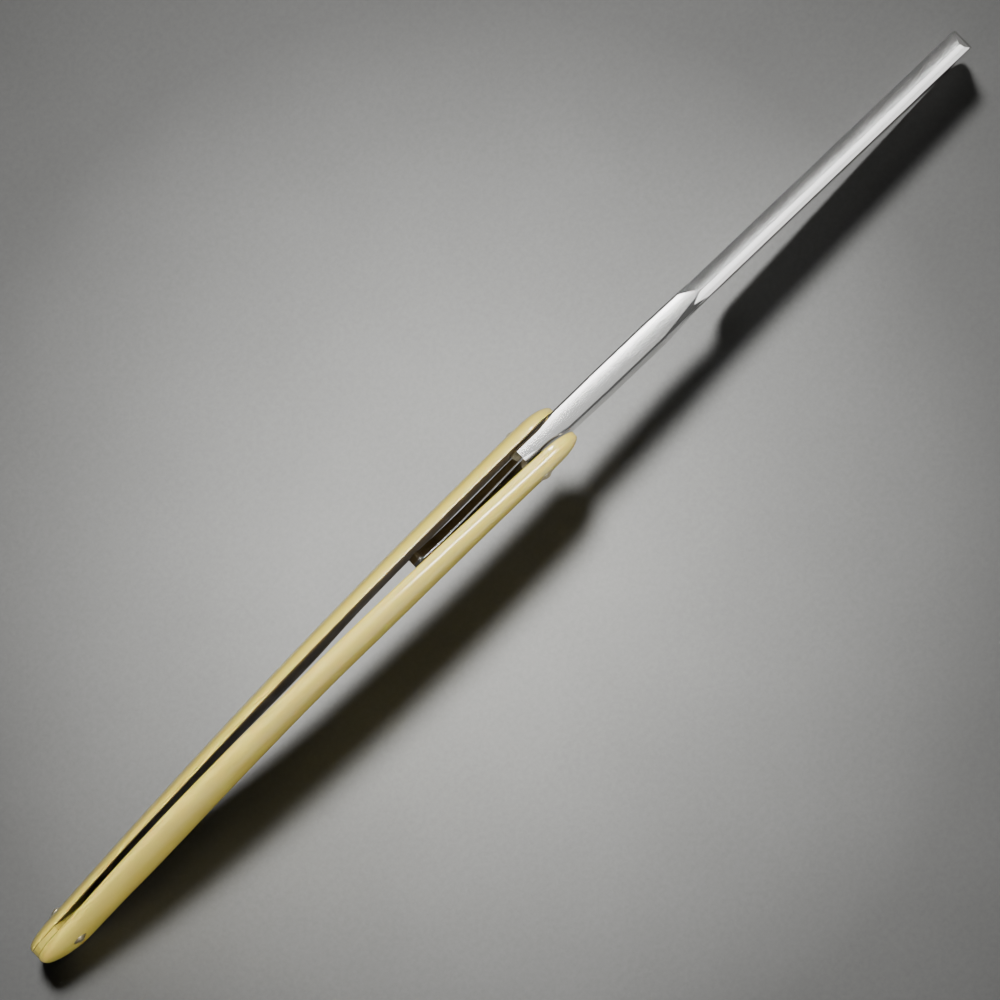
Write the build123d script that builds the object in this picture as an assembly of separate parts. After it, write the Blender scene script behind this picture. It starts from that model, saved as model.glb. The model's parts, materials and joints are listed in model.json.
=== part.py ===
from build123d import *
import math
import os

# Folding straight razor: a forged blade that turns on one pin between two scales.
# Everything is first drawn open and straight, with the pivot at the origin, +X towards
# the blade's tip, +Z towards the spine and +Y towards the left scale. At the end it is
# tilted, so that the handle's far end and the blade's toe both touch the ground plane.

# ---- driving dimensions, mm ----
BOW_RADIUS = 320.0            # the handle's centre line is an arc, level at the pivot
HANDLE_PIVOT_END = 9.4        # from the pivot to the scales' near end
HANDLE_FAR_END = 143.0        # from the pivot to the scales' far end, along the arc
WEDGE_PIN_AT = 134.0          # from the pivot to the wedge pin, along the arc
END_ROUND_NEAR = 6.0          # length over which the near end is rounded
END_ROUND_FAR = 9.0           # length over which the far end is rounded
END_FLAT = 0.25               # the last sliver of each rounded end that is cut off flat

# Stations along the handle: distance from the pivot, half height, half slot at the top
# and at the bottom, half outside width near the top and near the bottom
STATIONS = [
    (-HANDLE_PIVOT_END, 5.50, 2.58, 2.80, 5.20, 4.90),
    (-4.0, 5.70, 2.15, 2.80, 5.40, 5.00),
    (0.0, 5.80, 2.05, 2.80, 5.45, 5.05),
    (16.0, 6.40, 1.80, 2.65, 5.08, 5.15),
    (35.0, 7.20, 1.45, 2.55, 4.65, 5.20),
    (46.0, 7.60, 1.27, 2.40, 4.42, 5.08),
    (62.0, 8.00, 1.02, 1.85, 4.08, 4.90),
    (87.0, 8.40, 0.60, 2.10, 3.42, 4.90),
    (111.0, 8.40, 0.53, 2.35, 2.85, 4.90),
    (126.0, 7.60, 0.53, 2.00, 2.78, 4.65),
    (HANDLE_FAR_END, 7.60, 0.53, 2.00, 2.75, 4.30),
]
# The outer face is domed: these powers of sine and cosine set how full the dome is
DOME_HEIGHT_POWER = 0.9
DOME_WIDTH_POWER = 0.62
WEDGE_STOPS = [132.0, 134.0, 136.0, 138.0, 139.6, 140.9, 141.8, 142.4]
WEDGE_RECESS = 0.10           # the wedge stops this far below the scales' edges

PIN_R = 0.8
PIN_HOLE_R = 0.82             # holes in scales, wedge and washers
BLADE_BORE_R = 0.87           # running clearance on the pivot pin
WASHER_R = 1.6
WASHER_THICK = 0.35
WASHER_SEAT_R = 1.65          # flat spot face under each outer washer
WASHER_SEAT_DEPTH = 0.24
PIN_HEAD_R = 1.15
PIN_HEAD_RISE = 0.5
INNER_WASHER_R = 2.6
INNER_WASHER_REACH = 2.23     # outer face of both inner washers, from the middle
INNER_WASHER_GAP = 0.03       # running clearance between tang and washer

TIP_X = 115.4                 # from the pivot to the end of the nose
TANG_TOP = 4.0                # the top face and the spine ridge lie at this height
TANG_BOTTOM = -3.9
EDGE_Z = -12.4
TANG_END_X = -1.0             # where the tang's top face ends in a step down to the tail
HEEL_X = 46.0
HEEL_R = 5.0
NOSE_R = 6.0
SPINE_HALF = 2.25
SPINE_SHOULDER_Z = 3.2
SPINE_BAND_Z = 1.7            # the hollow grind starts below this
RIDGE_Y = -0.5                # the ridge lies a little to the right of the middle
RIDGE_HALF = 0.12             # it is a narrow flat, not a sharp edge
RIDGE_START_X = 46.2          # where the flat top has run out into the ridge
LEFT_FACET_X = 41.3
RIGHT_FACET_X = 33.0
EDGE_HALF = 0.12
HOLLOW_HALF = 0.72            # half thickness halfway down the hollow grind
HOLLOW_MID_Z = -6.0
TANG_CHAMFER_WIDE = 0.42      # bright narrow bevels along both top edges of the tang
TANG_CHAMFER_DEEP = 0.18
TANG_FOOT_CHAMFER = 0.5

# Stations along the tang: distance from the pivot, then the left half width at the top
# and the bottom and the right half width at the top and the bottom
TANG_STATIONS = [
    (TANG_END_X, 1.90, 1.80, 1.50, 1.45),
    (5.0, 1.90, 1.80, 1.62, 1.55),
    (9.5, 2.40, 2.00, 2.38, 2.00),
    (20.0, 2.50, 2.15, 2.50, 2.15),
    (34.0, 2.48, 2.15, 2.48, 2.15),
    (42.0, 2.32, 1.60, 2.32, 1.60),
    (52.0, 2.22, 0.70, 2.22, 0.70),
]

# Stations along the tail: distance from the pivot, half width to the left and the right,
# place of the ridge across, ridge height, height of the roof's foot and of the underside
TAIL_STATIONS = [
    (1.5, 1.85, 1.45, 0.20, 1.20, 0.00, -3.90),
    (-1.0, 1.85, 1.45, 0.20, 1.20, 0.00, -3.90),
    (-6.0, 1.82, 1.42, 0.08, 0.50, -0.55, -3.95),
    (-12.0, 1.72, 1.35, -0.10, -0.10, -1.05, -3.90),
    (-18.0, 1.62, 1.28, -0.28, -0.30, -1.25, -3.70),
    (-24.0, 1.52, 1.20, -0.45, 0.10, -0.85, -3.00),
    (-27.6, 1.45, 1.15, -0.50, 0.55, -0.35, -2.40),
    (-28.2, 1.43, 1.15, -0.30, 0.70, 0.50, -2.30),
    (-29.0, 1.40, 1.12, 0.00, 0.92, 0.86, -2.10),
    (-30.5, 1.30, 1.00, 0.00, -0.10, -0.20, -1.70),
]
TAIL_RIDGE_HALF = 0.14        # the roof's ridge is a narrow flat
TAIL_FOOT_CHAMFER = 0.4
REST_TILT_DEG = 5.535         # brings both ends down on the ground plane


def between(low, high, share):
    return low + (high - low) * share


def handle_values(along):
    """Half height, slot and outside widths of the handle at a distance along its arc."""
    for near, far in zip(STATIONS, STATIONS[1:]):
        if along <= far[0]:
            share = (along - near[0]) / (far[0] - near[0])
            return [between(a, b, share) for a, b in zip(near[1:], far[1:])]
    return list(STATIONS[-1][1:])


def end_shrink(along):
    """Share of the full section that is left where an end is rounded off."""
    if along < -HANDLE_PIVOT_END + END_ROUND_NEAR:
        depth = (END_ROUND_NEAR - HANDLE_PIVOT_END - along) / END_ROUND_NEAR
    elif along > HANDLE_FAR_END - END_ROUND_FAR:
        depth = (along - HANDLE_FAR_END + END_ROUND_FAR) / END_ROUND_FAR
    else:
        return 1.0
    return math.sqrt(max(0.0, 1.0 - depth ** 2.4))


def handle_plane(along):
    """Plane square to the handle's arc, with x to the left scale and y upwards."""
    turn = along / BOW_RADIUS
    if along < 0.0:
        return Plane(origin=(-along, 0, 0), x_dir=(0, 1, 0), z_dir=(1, 0, 0))
    centre = (-BOW_RADIUS * math.sin(turn), 0, BOW_RADIUS * (math.cos(turn) - 1.0))
    return Plane(origin=centre, x_dir=(0, 1, 0), z_dir=(math.cos(turn), 0, math.sin(turn)))


def slot_half(values, height, half_height):
    """Half width of the slot at a height, from its bottom and top half widths."""
    return between(values[2], values[1], 0.5 + 0.5 * height / half_height)


def scale_section(along, side):
    """Closed section of one scale: a flat inner face and a domed outer face."""
    values = handle_values(along)
    shrink = end_shrink(along)
    half = values[0] * shrink
    full = values[0]
    inner_top = slot_half(values, half, full)
    inner_bottom = slot_half(values, -half, full)
    skin = 0.35 + 0.65 * shrink
    outer = []
    for step in range(9):
        turn = math.radians(-90.0 + 22.5 * step)
        rise = abs(math.sin(turn)) ** DOME_HEIGHT_POWER
        height = half * math.copysign(rise, math.sin(turn))
        gap = slot_half(values, height, full)
        wall = between(values[4], values[3], 0.5 + 0.5 * height / full) - gap
        reach = gap + wall * skin * math.cos(turn) ** DOME_WIDTH_POWER
        outer.append((side * reach, height))
    outer[0] = (side * inner_bottom, -half)
    outer[-1] = (side * inner_top, half)
    with BuildSketch(handle_plane(along)) as sketch:
        with BuildLine():
            Spline(*outer)
            Line((side * inner_top, half), (side * inner_bottom, -half))
        make_face()
    return sketch.sketch


def scale_stops():
    """Places along the handle where a section is drawn."""
    near = -HANDLE_PIVOT_END + END_FLAT
    far = HANDLE_FAR_END - END_FLAT
    ends = [near, near + 0.7, near + 1.9, near + 3.6]
    ends += [far - 5.5, far - 3.0, far - 1.3, far]
    middle = [s[0] for s in STATIONS[1:-1]]
    return sorted(ends + middle)


def at_pin(along, shape, across=0.0):
    """Place a shape drawn along +Z on a pin axis, at a distance across to +Y."""
    place = handle_plane(along).origin
    return Pos(place.X, across, place.Z) * Rot(-90, 0, 0) * shape


def seat_at(along):
    """Distance from the middle to the flat seat under an outer washer."""
    values = handle_values(along)
    return between(values[4], values[3], 0.5) - WASHER_SEAT_DEPTH


def make_scale(side):
    body = loft([scale_section(s, side) for s in scale_stops()]) - wedge_block()
    for along in (0.0, WEDGE_PIN_AT):
        body -= at_pin(along, Cylinder(PIN_HOLE_R, 30))
        spot = Pos(0, 0, side * 2.0) * Cylinder(WASHER_SEAT_R, 4.0)
        body -= at_pin(along, spot, side * seat_at(along))
    return body


def wedge_block():
    """Tapered block that fills the slot at the far end, without its pin hole."""
    faces = []
    for along in WEDGE_STOPS:
        values = handle_values(along)
        full = values[0]
        half = full * end_shrink(along) - WEDGE_RECESS
        top = slot_half(values, half, full)
        low = slot_half(values, -half, full)
        with BuildSketch(handle_plane(along)) as sketch:
            with BuildLine():
                Polyline((top, half), (-top, half), (-low, -half), (low, -half), close=True)
            make_face()
        faces.append(sketch.sketch)
    return loft(faces, ruled=True)


def make_wedge():
    """Thin spacer that keeps the scales apart at the far end."""
    return wedge_block() - at_pin(WEDGE_PIN_AT, Cylinder(PIN_HOLE_R, 30))


def make_pin(along):
    """Pin with a domed head formed over each outer washer."""
    reach = seat_at(along) + WASHER_THICK
    cap_r = (PIN_HEAD_R ** 2 + PIN_HEAD_RISE ** 2) / (2 * PIN_HEAD_RISE)
    shank = Cylinder(PIN_R, 2 * reach + 0.2)
    ball = Pos(0, 0, reach + PIN_HEAD_RISE - cap_r) * Sphere(cap_r)
    above = Pos(0, 0, reach + 2.0) * Cylinder(PIN_HEAD_R, 4.0)
    head = ball & above
    return at_pin(along, shank + head + mirror(head, Plane.XY))


def make_outer_washer(along, side):
    ring = Cylinder(WASHER_R, WASHER_THICK) - Cylinder(PIN_HOLE_R, 2)
    rim = ring.edges().filter_by(GeomType.CIRCLE).filter_by(lambda e: e.radius > 1.0)
    ring = chamfer(rim.sort_by(Axis.Z)[-1 if side > 0 else 0], 0.12)
    return at_pin(along, ring, side * (seat_at(along) + WASHER_THICK / 2))


def make_inner_washer(side):
    """Washer between the tang and a scale; the tang is thinner on its right."""
    tang_half = TANG_STATIONS[1][1 if side > 0 else 3]
    thick = INNER_WASHER_REACH - tang_half - INNER_WASHER_GAP
    ring = Cylinder(INNER_WASHER_R, thick) - Cylinder(PIN_HOLE_R, 2)
    return at_pin(0.0, ring, side * (INNER_WASHER_REACH - thick / 2))


def tang_section(station):
    along, left_top, left_low, right_top, right_low = station
    wide = TANG_CHAMFER_WIDE
    shoulder = TANG_TOP - TANG_CHAMFER_DEEP
    cut = TANG_FOOT_CHAMFER
    foot = TANG_BOTTOM + cut
    points = [
        (-right_low, foot), (-right_low + cut, TANG_BOTTOM),
        (left_low - cut, TANG_BOTTOM), (left_low, foot),
        (left_top, shoulder), (left_top - wide, TANG_TOP),
        (-right_top + wide, TANG_TOP), (-right_top, shoulder),
    ]
    place = Plane(origin=(along, 0, 0), x_dir=(0, 1, 0), z_dir=(1, 0, 0))
    with BuildSketch(place) as sketch:
        with BuildLine():
            Polyline(*points, close=True)
        make_face()
    return sketch.sketch


def side_profile():
    """Outline of tang, shank and blade seen from the side."""
    nose_top = TANG_TOP - SPINE_SHOULDER_Z
    with BuildSketch(Plane.XZ) as sketch:
        with BuildLine():
            Polyline(
                (TANG_END_X, TANG_BOTTOM), (TANG_END_X, TANG_TOP),
                (TIP_X - 1.5, TANG_TOP), (TIP_X - 0.5, TANG_TOP - nose_top),
                (TIP_X, TANG_TOP - 2.0), (TIP_X - 0.3, EDGE_Z + NOSE_R),
            )
            TangentArc(
                (TIP_X - 0.3, EDGE_Z + NOSE_R), (TIP_X - 0.3 - NOSE_R, EDGE_Z),
                tangent=(-0.03, -1),
            )
            Line((TIP_X - 0.3 - NOSE_R, EDGE_Z), (HEEL_X + HEEL_R, EDGE_Z))
            TangentArc(
                (HEEL_X + HEEL_R, EDGE_Z), (HEEL_X, EDGE_Z + HEEL_R), tangent=(-1, 0)
            )
            Spline(
                (HEEL_X, EDGE_Z + HEEL_R), (HEEL_X - 7.0, TANG_BOTTOM),
                tangents=((0, 1), (-1, 0)),
            )
            Line((HEEL_X - 7.0, TANG_BOTTOM), (TANG_END_X, TANG_BOTTOM))
        make_face()
    return extrude(sketch.sketch, amount=4.0, both=True)


def blade_bar():
    """Bar with the blade's section: roofed spine, upright band and hollow flanks."""
    start = HEEL_X - 8.0
    half = SPINE_HALF
    with BuildSketch(Plane(origin=(start, 0, 0), x_dir=(0, 1, 0), z_dir=(1, 0, 0))) as sketch:
        with BuildLine():
            Polyline(
                (half, SPINE_BAND_Z), (half, SPINE_SHOULDER_Z),
                (RIDGE_Y + RIDGE_HALF, TANG_TOP), (RIDGE_Y - RIDGE_HALF, TANG_TOP),
                (RIDGE_Y - 1.1, TANG_TOP - 0.3), (-half, SPINE_SHOULDER_Z),
                (-half, SPINE_BAND_Z),
            )
            ThreePointArc(
                (-half, SPINE_BAND_Z), (-HOLLOW_HALF, HOLLOW_MID_Z), (-EDGE_HALF, EDGE_Z)
            )
            Line((-EDGE_HALF, EDGE_Z), (EDGE_HALF, EDGE_Z))
            ThreePointArc(
                (EDGE_HALF, EDGE_Z), (HOLLOW_HALF, HOLLOW_MID_Z), (half, SPINE_BAND_Z)
            )
        make_face()
    return extrude(sketch.sketch, amount=TIP_X + 2.0 - start)


def facet_cutter(first, second, third, low_x, high_x):
    """Block above the plane through three points, kept between two places along X."""
    edge_a = Vector(*second) - Vector(*first)
    edge_b = Vector(*third) - Vector(*first)
    normal = edge_a.cross(edge_b).normalized()
    if normal.Z < 0:
        normal = normal * -1.0
    block = Plane(origin=first, z_dir=normal) * Pos(0, 0, 20) * Box(80, 80, 40)
    keep = Pos((low_x + high_x) / 2, 0, TANG_TOP) * Box(high_x - low_x, 12, 8)
    return block & keep


def tail_section(station):
    along, left, right, ridge, top, foot, low = station
    flat = TAIL_RIDGE_HALF
    cut = TAIL_FOOT_CHAMFER
    points = [
        (-right, low + cut), (-right + cut, low), (left - cut, low), (left, low + cut),
        (left, foot), (ridge + flat, top), (ridge - flat, top), (-right, foot),
    ]
    with BuildSketch(Plane(origin=(along, 0, 0), x_dir=(0, 1, 0), z_dir=(1, 0, 0))) as sketch:
        with BuildLine():
            Polyline(*points, close=True)
        make_face()
    return sketch.sketch


def make_tail():
    """Slender roofed tail, turned up at its end, that lies between the scales."""
    return loft([tail_section(s) for s in TAIL_STATIONS], ruled=True)


def make_blade():
    tang = loft([tang_section(s) for s in TANG_STATIONS], ruled=True)
    tang &= Pos((RIDGE_START_X + TANG_END_X) / 2, 0, 0) * Box(
        RIDGE_START_X - TANG_END_X, 12, 12
    )
    ridge = (RIDGE_START_X, RIDGE_Y, TANG_TOP)
    left_low = (RIDGE_START_X, SPINE_HALF, SPINE_SHOULDER_Z)
    right_low = (RIDGE_START_X, -SPINE_HALF, SPINE_SHOULDER_Z)
    tang -= facet_cutter(
        (LEFT_FACET_X, 2.35, TANG_TOP), ridge, left_low, LEFT_FACET_X - 3, RIDGE_START_X
    )
    tang -= facet_cutter(
        (RIGHT_FACET_X, -2.30, TANG_TOP), ridge, right_low, RIGHT_FACET_X - 6, RIDGE_START_X
    )
    tang -= facet_cutter(
        (TANG_END_X, -0.3, TANG_TOP), (7.0, -2.2, TANG_TOP), (TANG_END_X, -1.6, TANG_TOP - 0.45),
        TANG_END_X - 1, 14.0,
    )
    blade = (tang + blade_bar()) & side_profile()
    blade += make_tail()
    return blade - at_pin(0.0, Cylinder(BLADE_BORE_R, 30))


def place(shape):
    """Tilt from the drawing frame onto the ground plane."""
    return Rot(0, REST_TILT_DEG, 0) * shape


def main():
    nodes = {
        "blade": make_blade(),
        "scale_left": make_scale(1),
        "scale_right": make_scale(-1),
        "wedge": make_wedge(),
        "pivot_pin": make_pin(0.0),
        "wedge_pin": make_pin(WEDGE_PIN_AT),
        "inner_washer_left": make_inner_washer(1),
        "inner_washer_right": make_inner_washer(-1),
    }
    for name, along in (("pivot", 0.0), ("wedge", WEDGE_PIN_AT)):
        nodes[name + "_washer_left"] = make_outer_washer(along, 1)
        nodes[name + "_washer_right"] = make_outer_washer(along, -1)
    placed = {name: place(shape) for name, shape in nodes.items()}
    boxes = [shape.bounding_box() for shape in placed.values()]
    low = [min(tuple(box.min)[k] for box in boxes) for k in range(3)]
    high = [max(tuple(box.max)[k] for box in boxes) for k in range(3)]
    shift = Pos(-(low[0] + high[0]) / 2, -(low[1] + high[1]) / 2, -low[2])
    os.makedirs("parts", exist_ok=True)
    for name, shape in placed.items():
        export_step(shift * shape, os.path.join("parts", name + ".step"))
    pivot = shift.position
    print("pivot at", round(pivot.X, 4), round(pivot.Y, 4), round(pivot.Z, 4))
    for name in ("blade", "scale_left", "scale_right"):
        print(name, "lowest", round((shift * placed[name]).bounding_box().min.Z, 3))


main()
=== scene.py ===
import json
import math

import bpy
import bmesh
from mathutils import Matrix, Vector

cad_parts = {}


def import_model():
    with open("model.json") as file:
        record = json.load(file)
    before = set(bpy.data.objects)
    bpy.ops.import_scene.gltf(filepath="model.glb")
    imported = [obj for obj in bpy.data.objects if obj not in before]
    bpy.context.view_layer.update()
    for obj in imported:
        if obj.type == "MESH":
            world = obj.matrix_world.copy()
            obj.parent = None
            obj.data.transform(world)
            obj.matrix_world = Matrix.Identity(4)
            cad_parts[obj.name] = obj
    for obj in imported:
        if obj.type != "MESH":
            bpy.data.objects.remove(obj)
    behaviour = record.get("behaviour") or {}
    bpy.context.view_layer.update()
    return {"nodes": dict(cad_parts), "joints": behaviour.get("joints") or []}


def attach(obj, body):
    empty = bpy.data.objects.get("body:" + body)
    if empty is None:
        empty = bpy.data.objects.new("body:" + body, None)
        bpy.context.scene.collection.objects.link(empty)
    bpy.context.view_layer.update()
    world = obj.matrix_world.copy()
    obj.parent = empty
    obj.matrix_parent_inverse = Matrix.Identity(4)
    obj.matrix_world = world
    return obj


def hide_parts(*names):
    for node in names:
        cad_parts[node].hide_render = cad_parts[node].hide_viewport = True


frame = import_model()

MM = 0.001

# ---- frame of the drawing: pivot at the origin, +X to the tip, +Z to the spine, mm ----
PIVOT = Vector(frame["joints"][0]["pos_m"])
REST_TILT = math.radians(5.535)

# ---- the handle, as the CAD model has it, mm ----
BOW_RADIUS = 320.0
NEAR_END = 9.4
FAR_END = 143.0
END_ROUND_NEAR = 6.0
END_ROUND_FAR = 9.0
END_ROUND_POWER = 2.4         # squareness of the rounded ends, 2 being a plain ellipse
THINNEST_SKIN = 0.35          # share of the wall thickness left at the very ends
# distance along the arc, half height, then half widths at the spine side and at the edge side:
# of the slot (spine, edge) and of the outside (spine, edge)
STATIONS = [
    (-NEAR_END, 5.50, 2.58, 2.80, 5.20, 4.90),
    (-4.0, 5.70, 2.15, 2.80, 5.40, 5.00),
    (0.0, 5.80, 2.05, 2.80, 5.45, 5.05),
    (16.0, 6.40, 1.80, 2.65, 5.08, 5.15),
    (35.0, 7.20, 1.45, 2.55, 4.65, 5.20),
    (46.0, 7.60, 1.27, 2.40, 4.42, 5.08),
    (62.0, 8.00, 1.02, 1.85, 4.08, 4.90),
    (87.0, 8.40, 0.60, 2.10, 3.42, 4.90),
    (111.0, 8.40, 0.53, 2.35, 2.85, 4.90),
    (126.0, 7.60, 0.53, 2.00, 2.78, 4.65),
    (FAR_END, 7.60, 0.53, 2.00, 2.75, 4.30),
]
DOME_HEIGHT_POWER = 0.9
DOME_WIDTH_POWER = 0.62
INNER_ROUND = 0.30            # rounding of the two long inner edges of each scale
LEAST_INNER_ROUND = 0.15      # share of that rounding left at the very ends

# ---- how finely the scale meshes are cut ----
SECTION_STEPS = 56
NEAR_END_STEPS = 14
LONG_STEPS = 120
FAR_END_STEPS = 18
CORNER_STEPS = 5
FLAT_STEPS = 8
OUTSIDE_POINTS = 54
INSIDE_POINTS = 18
END_INSET = 0.02              # keeps the end rings from closing to a line, mm
FACING_IN = 0.97              # a face turned this squarely to the slot is an inner face, and gets the painted slot shade

# ---- the camera, almost straight above ----
CAM_AZIMUTH = math.radians(34.38)
CAM_ELEVATION = math.radians(78.63)
CAM_ROLL = math.radians(-78.34)
CAM_DISTANCE = 1.0
CAM_AIM = Vector((0.00196, -0.00049, 0.012))
CAM_FOCAL_PX = 5142.0
IMAGE_PX = 1000.0
SENSOR_MM = 36.0
CAM_CLIP = (0.05, 20.0)

# ---- the floor ----
FLOOR_HALF_SIZE = 3.0
FLOOR_DROP = 0.0002           # gap under the lowest point, so that nothing lies in the floor
FLOOR_CELLS = 8
# centre of the pool of light painted into the floor's colour, metres
PAINTED_LIGHT_CENTRE = (-0.012, 0.0)

# ---- the lights ----
KEY_AIM = (-0.01, 0.0, 0.0)
KEY_DISTANCE = 1.35
KEY_SIZE = (0.30, 0.30)
KEY_SPREAD = 22.0
CARD_DISTANCE = 1.3
CARD_LENGTH = 0.9

CROWN_PER_MM = 0.030          # how far the ground top faces fall away across their width


def world(x, y, z):
    """Point of the drawing frame, mm, in the row frame, metres."""
    turned = Matrix.Rotation(REST_TILT, 3, "Y") @ Vector((x, y, z))
    return PIVOT + turned * MM


def on_arc(along, across, up):
    """Point at a distance along the handle's arc, mm, in the row frame, metres."""
    if along < 0.0:
        return world(-along, across, up)
    turn = along / BOW_RADIUS
    x = -BOW_RADIUS * math.sin(turn) - up * math.sin(turn)
    z = BOW_RADIUS * (math.cos(turn) - 1.0) + up * math.cos(turn)
    return world(x, across, z)


# ---------------------------------------------------------------- materials
MIX_A, MIX_B, MIX_RESULT = 6, 7, 2    # the colour sockets of a Mix node


def new_material(name):
    """New node material: itself, its node tree and its shader."""
    mat = bpy.data.materials.new(name)
    mat.use_nodes = True
    return mat, mat.node_tree, mat.node_tree.nodes["Principled BSDF"]


def coords(tree, scale=(1, 1, 1)):
    """Object coordinates in millimetres, stretched by scale."""
    where = tree.nodes.new("ShaderNodeTexCoord")
    place = tree.nodes.new("ShaderNodeMapping")
    place.inputs["Scale"].default_value = [s / MM for s in scale]
    tree.links.new(where.outputs["Object"], place.inputs["Vector"])
    return place.outputs["Vector"]


def noise_tex(tree, vector, scale, detail=4.0, rough=0.5, distort=0.0):
    """Noise between 0 and 1 over a vector."""
    tex = tree.nodes.new("ShaderNodeTexNoise")
    tex.inputs["Scale"].default_value = scale
    tex.inputs["Detail"].default_value = detail
    tex.inputs["Roughness"].default_value = rough
    tex.inputs["Distortion"].default_value = distort
    tree.links.new(vector, tex.inputs["Vector"])
    return tex.outputs["Fac"]


def ramp(tree, fac, stops):
    """Colour ramp through (place, colour) stops."""
    node = tree.nodes.new("ShaderNodeValToRGB")
    node.color_ramp.elements[0].position = stops[0][0]
    node.color_ramp.elements[0].color = (*stops[0][1], 1.0)
    node.color_ramp.elements[1].position = stops[-1][0]
    node.color_ramp.elements[1].color = (*stops[-1][1], 1.0)
    for place, colour in stops[1:-1]:
        node.color_ramp.elements.new(place).color = (*colour, 1.0)
    tree.links.new(fac, node.inputs["Fac"])
    return node.outputs["Color"]


def grey_ramp(tree, fac, low, high, value_low, value_high):
    """Ramp between two plain values."""
    return ramp(tree, fac, [(low, (value_low,) * 3), (high, (value_high,) * 3)])


def mix(tree, fac, first, second, mode="MIX"):
    """Mix of two colours, each of them a tuple or another node's output."""
    node = tree.nodes.new("ShaderNodeMix")
    node.data_type = "RGBA"
    node.blend_type = mode
    if isinstance(fac, (int, float)):
        node.inputs[0].default_value = fac
    else:
        tree.links.new(fac, node.inputs[0])
    for index, value in ((MIX_A, first), (MIX_B, second)):
        if isinstance(value, tuple):
            node.inputs[index].default_value = (*value, 1.0)
        else:
            tree.links.new(value, node.inputs[index])
    return node.outputs[MIX_RESULT]


def bump(tree, shader, height, strength, distance, under=None):
    """Bump into the shader, on top of another bump where one is given."""
    node = tree.nodes.new("ShaderNodeBump")
    node.inputs["Strength"].default_value = strength
    node.inputs["Distance"].default_value = distance
    tree.links.new(height, node.inputs["Height"])
    if under is not None:
        tree.links.new(under, node.inputs["Normal"])
    tree.links.new(node.outputs["Normal"], shader.inputs["Normal"])
    return node.outputs["Normal"]


def crown_height(tree):
    """Height in mm of a slight crown across the spine, for the bump of the ground faces."""
    where = tree.nodes.new("ShaderNodeTexCoord")
    parts = tree.nodes.new("ShaderNodeSeparateXYZ")
    tree.links.new(where.outputs["Object"], parts.inputs["Vector"])
    squared = tree.nodes.new("ShaderNodeMath")
    squared.operation = "MULTIPLY"
    tree.links.new(parts.outputs["Y"], squared.inputs[0])
    tree.links.new(parts.outputs["Y"], squared.inputs[1])
    height = tree.nodes.new("ShaderNodeMath")
    height.operation = "MULTIPLY"
    height.inputs[1].default_value = -CROWN_PER_MM / MM ** 2
    tree.links.new(squared.outputs["Value"], height.inputs[0])
    return height.outputs["Value"]


def steel_material():
    """Old polished carbon steel: lengthwise grinding marks, faint haze and small spots."""
    mat, tree, shader = new_material("steel")
    shader.inputs["Metallic"].default_value = 1.0
    grain = noise_tex(tree, coords(tree, (0.04, 4.0, 4.0)), 2.5, 5.0, 0.65)
    haze = noise_tex(tree, coords(tree, (0.35, 1.0, 1.0)), 0.22, 4.0, 0.6)
    spots = noise_tex(tree, coords(tree, (0.6, 1.0, 1.0)), 2.4, 3.0, 0.6)
    base = ramp(tree, haze, [(0.3, (0.62, 0.615, 0.60)), (0.7, (0.68, 0.675, 0.66))])
    specks = ramp(tree, spots, [(0.68, (1, 1, 1)), (0.78, (0.66, 0.62, 0.56))])
    tree.links.new(mix(tree, 0.7, base, specks, "MULTIPLY"), shader.inputs["Base Color"])
    rough = mix(tree, 0.3, grey_ramp(tree, grain, 0.3, 0.7, 0.19, 0.22),
                grey_ramp(tree, haze, 0.3, 0.75, 0.20, 0.22))
    tree.links.new(rough, shader.inputs["Roughness"])
    marks = bump(tree, shader, grain, 0.08, 0.00001)
    bump(tree, shader, crown_height(tree), 1.0, 0.001, marks)
    return mat


def cream_material(name, base_stops):
    """Polished cream celluloid: very faint clouds and streaks, fine scratches in the gloss."""
    mat, tree, shader = new_material(name)
    streak = noise_tex(tree, coords(tree, (0.04, 0.30, 0.30)), 1.2, 4.0, 0.5, 0.5)
    mottle = noise_tex(tree, coords(tree), 0.45, 4.0, 0.55, 0.3)
    warm = noise_tex(tree, coords(tree, (0.30, 0.8, 0.8)), 0.12, 3.0, 0.5)
    rosy = noise_tex(tree, coords(tree, (0.25, 0.9, 0.9)), 0.10, 2.0, 0.5)
    colour = ramp(tree, streak, base_stops)
    tinted = mix(tree, grey_ramp(tree, warm, 0.48, 0.72, 0.0, 0.22), colour, (0.72, 0.50, 0.18))
    tinted = mix(tree, grey_ramp(tree, rosy, 0.58, 0.78, 0.0, 0.14), tinted, (0.74, 0.52, 0.30))
    dust = ramp(tree, mottle, [(0.30, (0.96, 0.955, 0.94)), (0.60, (1.0, 1.0, 1.0))])
    tree.links.new(mix(tree, 0.8, tinted, dust, "MULTIPLY"), shader.inputs["Base Color"])
    scratch = noise_tex(tree, coords(tree, (0.06, 2.5, 2.5)), 2.6, 3.0, 0.6)
    tree.links.new(grey_ramp(tree, scratch, 0.35, 0.75, 0.45, 0.55), shader.inputs["Roughness"])
    shader.inputs["Subsurface Weight"].default_value = 0.3
    shader.inputs["Subsurface Radius"].default_value = (0.0020, 0.0013, 0.0005)
    shader.inputs["Subsurface Scale"].default_value = 1.0
    shader.inputs["Coat Weight"].default_value = 1.0
    shader.inputs["Coat Roughness"].default_value = 0.11
    bump(tree, shader, mottle, 0.05, 0.00001)
    return mat


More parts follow.
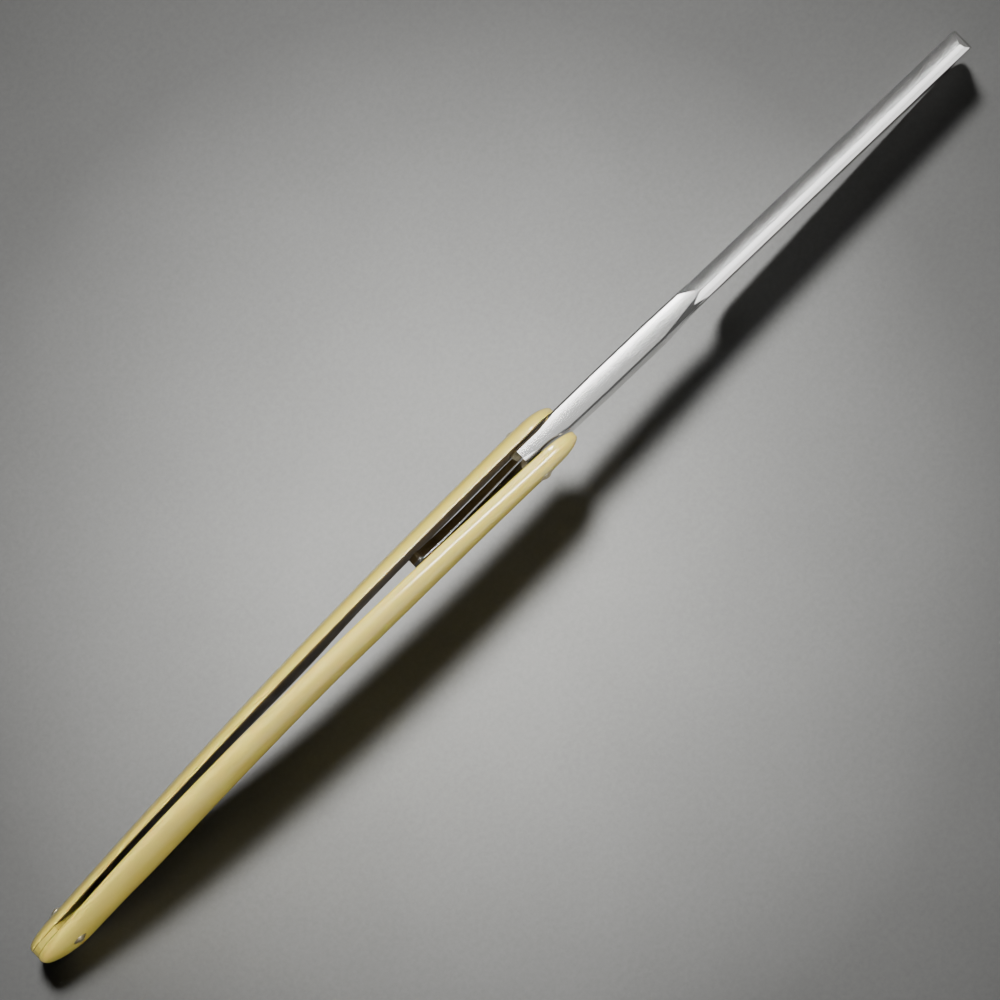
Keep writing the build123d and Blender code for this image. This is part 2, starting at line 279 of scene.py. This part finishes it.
def slot_shade_material():
    """Painted shade on the inner faces of the scales: a dark brown in place of the cream,
    standing in for the shade in the slot; matt, as if never polished.
    """
    mat, tree, shader = new_material("inner_faces_painted_shade")
    slot_shade_mottle = noise_tex(tree, coords(tree, (0.3, 1.0, 1.0)), 0.8, 5.0, 0.65)
    # painted shade: dark brown for the shaded slot, varied by a random mottle
    tree.links.new(
        ramp(tree, slot_shade_mottle, [(0.3, (0.085, 0.054, 0.017)), (0.7, (0.190, 0.130, 0.048))]),
        shader.inputs["Base Color"],
    )
    tree.links.new(grey_ramp(tree, slot_shade_mottle, 0.3, 0.7, 0.45, 0.75), shader.inputs["Roughness"])
    shader.inputs["Specular IOR Level"].default_value = 0.25
    bump(tree, shader, slot_shade_mottle, 0.3, 0.00005)
    return mat


def pin_material(name, low, high):
    """Worn nickel silver: yellowish grey metal, darker and duller in random patches."""
    mat, tree, shader = new_material(name)
    shader.inputs["Metallic"].default_value = 1.0
    wear = noise_tex(tree, coords(tree), 3.0, 5.0, 0.65)
    tree.links.new(ramp(tree, wear, [(0.3, low), (0.7, high)]), shader.inputs["Base Color"])
    tree.links.new(grey_ramp(tree, wear, 0.3, 0.7, 0.42, 0.24), shader.inputs["Roughness"])
    bump(tree, shader, wear, 0.35, 0.00004)
    return mat


def floor_distance(tree):
    """Distance over the floor from the centre of its painted pool of light, metres."""
    where = tree.nodes.new("ShaderNodeTexCoord")
    place = tree.nodes.new("ShaderNodeMapping")
    place.inputs["Location"].default_value = (-PAINTED_LIGHT_CENTRE[0], -PAINTED_LIGHT_CENTRE[1], 0.0)
    tree.links.new(where.outputs["Object"], place.inputs["Vector"])
    far = tree.nodes.new("ShaderNodeVectorMath")
    far.operation = "LENGTH"
    tree.links.new(place.outputs["Vector"], far.inputs[0])
    return far.outputs["Value"]


def floor_material():
    """Pale grey matt surface with a fine tooth, with a painted pool of light: its colour darkens
    away from the middle in place of a lamp's falloff.
    """
    mat, tree, shader = new_material("floor_grey")
    cloud = noise_tex(tree, coords(tree), 0.02, 5.0, 0.6)
    grit = noise_tex(tree, coords(tree), 0.9, 4.0, 0.7)
    base = ramp(tree, cloud, [(0.35, (0.43, 0.43, 0.415)), (0.65, (0.47, 0.47, 0.455))])
    fleck = ramp(tree, grit, [(0.30, (0.88, 0.88, 0.88)), (0.65, (1.0, 1.0, 1.0))])
    toned = mix(tree, 1.0, base, fleck, "MULTIPLY")
    # painted light: the floor colour falls off with distance from the centre, standing in for
    # the lamp's falloff
    painted_falloff = [(0.0, 1.0), (0.030, 0.93), (0.065, 0.66), (0.110, 0.33), (0.200, 0.18)]
    painted_light_pool = ramp(tree, floor_distance(tree), [(place, (value,) * 3) for place, value in painted_falloff])
    tree.links.new(mix(tree, 1.0, toned, painted_light_pool, "MULTIPLY"), shader.inputs["Base Color"])
    shader.inputs["Roughness"].default_value = 0.7
    return mat


# ---------------------------------------------------------------- handle meshes
def handle_values(along):
    """Smoothly interpolated half height, slot and outside widths, mm."""
    spots = [s[0] for s in STATIONS]
    along = min(max(along, spots[0]), spots[-1])
    index = max(i for i in range(len(spots) - 1) if spots[i] <= along)
    low, high = STATIONS[index], STATIONS[index + 1]
    before = STATIONS[max(index - 1, 0)]
    after = STATIONS[min(index + 2, len(STATIONS) - 1)]
    width = high[0] - low[0]
    share = (along - low[0]) / width
    values = []
    for k in range(1, 6):
        slope_low = (high[k] - before[k]) / max(high[0] - before[0], 1e-6)
        slope_high = (after[k] - low[k]) / max(after[0] - low[0], 1e-6)
        h00 = 2 * share ** 3 - 3 * share ** 2 + 1
        h10 = share ** 3 - 2 * share ** 2 + share
        h01 = -2 * share ** 3 + 3 * share ** 2
        h11 = share ** 3 - share ** 2
        ends = h00 * low[k] + h01 * high[k]
        values.append(ends + width * (h10 * slope_low + h11 * slope_high))
    return values


def end_shrink(along):
    """Share of the full height at a distance along the handle, less than 1 at the ends."""
    if along < END_ROUND_NEAR - NEAR_END:
        depth = (END_ROUND_NEAR - NEAR_END - along) / END_ROUND_NEAR
    elif along > FAR_END - END_ROUND_FAR:
        depth = (along - FAR_END + END_ROUND_FAR) / END_ROUND_FAR
    else:
        return 1.0
    return math.sqrt(max(0.0, 1.0 - depth ** END_ROUND_POWER))


def slot_half(values, height):
    """Half width of the slot at a height, mm."""
    share = 0.5 + 0.5 * height / values[0]
    return values[2] + (values[1] - values[2]) * share


def scale_ring(along, side):
    """Points round one scale's section, mm: across and up."""
    values = handle_values(along)
    shrink = end_shrink(along)
    half = values[0] * shrink
    skin = THINNEST_SKIN + (1.0 - THINNEST_SKIN) * shrink
    points = []
    for step in range(SECTION_STEPS + 1):
        turn = math.radians(-90.0 + 180.0 * step / SECTION_STEPS)
        rise = abs(math.sin(turn)) ** DOME_HEIGHT_POWER
        height = half * math.copysign(rise, math.sin(turn))
        share = 0.5 + 0.5 * height / values[0]
        width = values[4] + (values[3] - values[4]) * share
        gap = slot_half(values, height)
        bulge = max(math.cos(turn), 0.0) ** DOME_WIDTH_POWER
        points.append((side * (gap + (width - gap) * skin * bulge), height))
    return points


def along_stops():
    """Distances along the handle, closer together where the ends are rounded."""
    quarter = math.pi / 2
    stops = []
    for step in range(NEAR_END_STEPS + 1):
        eased = 1.0 - math.cos(quarter * step / NEAR_END_STEPS)
        stops.append(-NEAR_END + END_ROUND_NEAR * eased)
    near, far = stops[-1], FAR_END - END_ROUND_FAR
    for step in range(1, LONG_STEPS):
        stops.append(near + (far - near) * step / LONG_STEPS)
    for step in range(FAR_END_STEPS + 1):
        eased = math.sin(quarter * step / FAR_END_STEPS)
        stops.append(far + END_ROUND_FAR * eased)
    stops[0] += END_INSET
    stops[-1] -= END_INSET
    return stops


def loft_mesh(name, rings):
    """Closed mesh through rings of points, with both ends capped."""
    mesh = bmesh.new()
    rows = [[mesh.verts.new(p) for p in ring] for ring in rings]
    count = len(rows[0])
    for low, high in zip(rows, rows[1:]):
        for i in range(count):
            j = (i + 1) % count
            mesh.faces.new((low[i], low[j], high[j], high[i]))
    mesh.faces.new(rows[0])
    mesh.faces.new(list(reversed(rows[-1])))
    bmesh.ops.recalc_face_normals(mesh, faces=mesh.faces)
    data = bpy.data.meshes.new(name)
    mesh.to_mesh(data)
    mesh.free()
    obj = bpy.data.objects.new(name, data)
    bpy.context.scene.collection.objects.link(obj)
    return obj


def corner_arc(corner, before, after, radius):
    """Small arc in place of a sharp corner, from the side of one neighbour to the other."""
    start = corner + (before - corner).normalized() * radius
    end = corner + (after - corner).normalized() * radius
    made = []
    for step in range(CORNER_STEPS + 1):
        t = step / CORNER_STEPS
        made.append(start * (1 - t) ** 2 + corner * 2 * t * (1 - t) + end * t ** 2)
    return made


def rounded_ring(points, radius):
    """Cut the two sharp inner corners of a section back to arcs: low, outside, high, flat."""
    points = [Vector(p) for p in points]
    first, last = points[0], points[-1]
    outside = [p for p in points[1:-1] if min((p - first).length, (p - last).length) > radius]
    low = corner_arc(first, last, outside[0], radius)
    high = corner_arc(last, outside[-1], first, radius)
    flat = [high[-1].lerp(low[0], step / FLAT_STEPS) for step in range(1, FLAT_STEPS)]
    return low, outside, high, flat


def resample(points, count):
    """Spread count points evenly along an open line of points."""
    lengths = [0.0]
    for a, b in zip(points, points[1:]):
        lengths.append(lengths[-1] + (b - a).length)
    made, k = [], 0
    for step in range(count):
        want = lengths[-1] * step / (count - 1)
        while k < len(points) - 2 and lengths[k + 1] < want:
            k += 1
        share = (want - lengths[k]) / max(lengths[k + 1] - lengths[k], 1e-9)
        made.append(points[k].lerp(points[k + 1], min(max(share, 0.0), 1.0)))
    return made


def scale_section(along, side):
    """Closed ring of evenly spread points round one scale, in the row frame, metres."""
    radius = INNER_ROUND * (LEAST_INNER_ROUND + (1.0 - LEAST_INNER_ROUND) * end_shrink(along))
    low, outside, high, flat = rounded_ring(scale_ring(along, side), radius)
    middle = (CORNER_STEPS + 1) // 2
    skin = resample(low[middle:] + outside + high[:middle], OUTSIDE_POINTS)
    lining = resample(high[middle - 1:] + flat + low[:middle + 1], INSIDE_POINTS)[1:-1]
    return [on_arc(along, p.x, p.y) for p in skin + lining]


def make_scale(name, side, cream, painted_slot_shade):
    """One scale in finished mesh, in the place of its CAD node."""
    obj = loft_mesh(name, [scale_section(along, side) for along in along_stops()])
    obj.data.materials.append(cream)
    obj.data.materials.append(painted_slot_shade)
    for poly in obj.data.polygons:
        poly.use_smooth = True
        # faces turned to the slot get the painted slot shade material
        poly.material_index = 1 if -side * poly.normal.y > FACING_IN else 0
    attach(obj, "handle")
    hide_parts(name)
    return obj


# ---------------------------------------------------------------- CAD nodes kept
def dress(node, mat):
    """Keep a CAD node and give it its finished material."""
    obj = frame["nodes"][node]
    obj.data.materials.clear()
    obj.data.materials.append(mat)
    return obj


# ---------------------------------------------------------------- stage
def make_floor(mat):
    """Large plain floor just under the razor."""
    mesh = bmesh.new()
    bmesh.ops.create_grid(
        mesh, x_segments=FLOOR_CELLS, y_segments=FLOOR_CELLS, size=FLOOR_HALF_SIZE
    )
    data = bpy.data.meshes.new("floor")
    mesh.to_mesh(data)
    mesh.free()
    obj = bpy.data.objects.new("floor", data)
    obj.location = (0, 0, -FLOOR_DROP)
    bpy.context.scene.collection.objects.link(obj)
    data.materials.append(mat)
    return obj


def group_of(name, objects):
    """Collection of the objects that a light reaches."""
    group = bpy.data.collections.new(name)
    for obj in objects:
        group.objects.link(obj)
    return group


def add_area(name, towards, distance, size, radiance, aim=(0, 0, 0), spread=180.0):
    """Rectangular light seen from the aim in one direction, with a given radiance."""
    light = bpy.data.lights.new(name, "AREA")
    light.shape = "RECTANGLE"
    light.size, light.size_y = size
    light.energy = radiance * math.pi * size[0] * size[1]
    light.spread = math.radians(spread)
    obj = bpy.data.objects.new(name, light)
    obj.location = Vector(aim) + Vector(towards).normalized() * distance
    obj.rotation_mode = "QUATERNION"
    obj.rotation_quaternion = Vector(towards).to_track_quat("Z", "Y")
    obj.visible_camera = False
    bpy.context.scene.collection.objects.link(obj)
    return obj


def only_on(light, group, diffuse=False, glossy=True):
    """Let a light reach one group of objects, in its diffuse or its glossy reflection."""
    light.light_linking.receiver_collection = group
    light.visible_diffuse = diffuse
    light.visible_glossy = glossy
    light.visible_transmission = False


def add_key(name, towards, radiance, group):
    """Small light that gives one group its shape and its shadow."""
    key = add_area(name, towards, KEY_DISTANCE, KEY_SIZE, radiance, KEY_AIM, KEY_SPREAD)
    only_on(key, group, True, True)


def add_card(name, towards, width, radiance, group, distance=CARD_DISTANCE):
    """Long white card beside the razor, seen only in the gloss of one group."""
    only_on(add_area(name, towards, distance, (CARD_LENGTH, width), radiance), group)


def make_lights(lit_by_key, metal, scales):
    """A key over the left scale for floor and metal, one for the scales, and the cards."""
    add_key("key", (0.42, 0.455, 1.0), 2.5, lit_by_key)
    add_key("key_scales", (0.35, -0.02, 1.0), 2.8, scales)
    add_card("card_top", (0.08, 0.087, 0.99), 0.90, 0.50, metal, 1.5)
    add_card("card_left", (0.06, 0.475, 0.88), 0.46, 5.5, metal)
    add_card("card_right", (0.07, -0.42, 0.90), 0.50, 5.0, metal)
    add_card("card_low_right", (0.05, -0.965, 0.26), 0.35, 2.2, metal)
    only_on(add_area("strip_right", (0.07, -0.84, 0.54), 1.2, (0.45, 0.30), 60.0), scales)
    fill = add_area("fill_right", (0.05, -0.60, 0.80), CARD_DISTANCE, (CARD_LENGTH, 0.6), 10.0)
    only_on(fill, scales, True, False)


def make_studio():
    """Dim room above, brighter towards the horizon, seen only in glossy reflections."""
    studio = bpy.data.worlds.new("studio")
    studio.use_nodes = True
    tree = studio.node_tree
    where = tree.nodes.new("ShaderNodeTexCoord")
    parts = tree.nodes.new("ShaderNodeSeparateXYZ")
    tree.links.new(where.outputs["Generated"], parts.inputs["Vector"])
    stops = [(0.0, (0.50, 0.50, 0.49)), (0.20, (0.35, 0.35, 0.35)), (0.38, (0.04, 0.04, 0.04))]
    room = ramp(tree, parts.outputs["Z"], stops)
    tree.links.new(room, tree.nodes["Background"].inputs["Color"])
    studio.cycles_visibility.diffuse = False
    bpy.context.scene.world = studio


def make_camera():
    """Camera almost straight above, rolled so that the razor lies corner to corner."""
    back = Vector((
        math.sin(CAM_AZIMUTH) * math.cos(CAM_ELEVATION),
        -math.cos(CAM_AZIMUTH) * math.cos(CAM_ELEVATION),
        math.sin(CAM_ELEVATION),
    ))
    level = Vector((math.cos(CAM_AZIMUTH), math.sin(CAM_AZIMUTH), 0.0))
    upright = back.cross(level)
    right = level * math.cos(CAM_ROLL) + upright * math.sin(CAM_ROLL)
    up = upright * math.cos(CAM_ROLL) - level * math.sin(CAM_ROLL)
    data = bpy.data.cameras.new("camera")
    data.sensor_width = SENSOR_MM
    data.lens = SENSOR_MM * CAM_FOCAL_PX / IMAGE_PX
    data.clip_start, data.clip_end = CAM_CLIP
    obj = bpy.data.objects.new("camera", data)
    turned = Matrix((right, up, back)).transposed().to_4x4()
    obj.matrix_world = Matrix.Translation(CAM_AIM + back * CAM_DISTANCE) @ turned
    bpy.context.scene.collection.objects.link(obj)
    bpy.context.scene.camera = obj


# ---------------------------------------------------------------- the whole scene
CREAM_STOPS = [
    (0.30, (0.660, 0.525, 0.070)),
    (0.52, (0.680, 0.545, 0.080)),
    (0.75, (0.700, 0.565, 0.095)),
]
WEDGE_STOPS = [(0.30, (0.56, 0.44, 0.06)), (0.70, (0.64, 0.51, 0.08))]

make_camera()
ground = make_floor(floor_material())

steel = steel_material()
cream = cream_material("cream", CREAM_STOPS)
wedge_cream = cream_material("wedge_cream", WEDGE_STOPS)
# dark brown painted shade for the inner faces of the scales
painted_slot_shade = slot_shade_material()
pin_metal = pin_material("pin_metal", (0.46, 0.38, 0.20), (0.72, 0.64, 0.44))
washer_metal = pin_material("washer_metal", (0.50, 0.43, 0.26), (0.76, 0.69, 0.50))

scales = [make_scale("scale_left", 1, cream, painted_slot_shade), make_scale("scale_right", -1, cream, painted_slot_shade)]
scales.append(dress("wedge", wedge_cream))
metal = [dress("blade", steel)]
for name in frame["nodes"]:
    if name.endswith("_pin"):
        metal.append(dress(name, pin_metal))
    elif "washer" in name:
        metal.append(dress(name, washer_metal))
make_lights(
    group_of("lit_by_key", metal + [ground]),
    group_of("razor_metal", metal),
    group_of("razor_scales", scales),
)
make_studio()
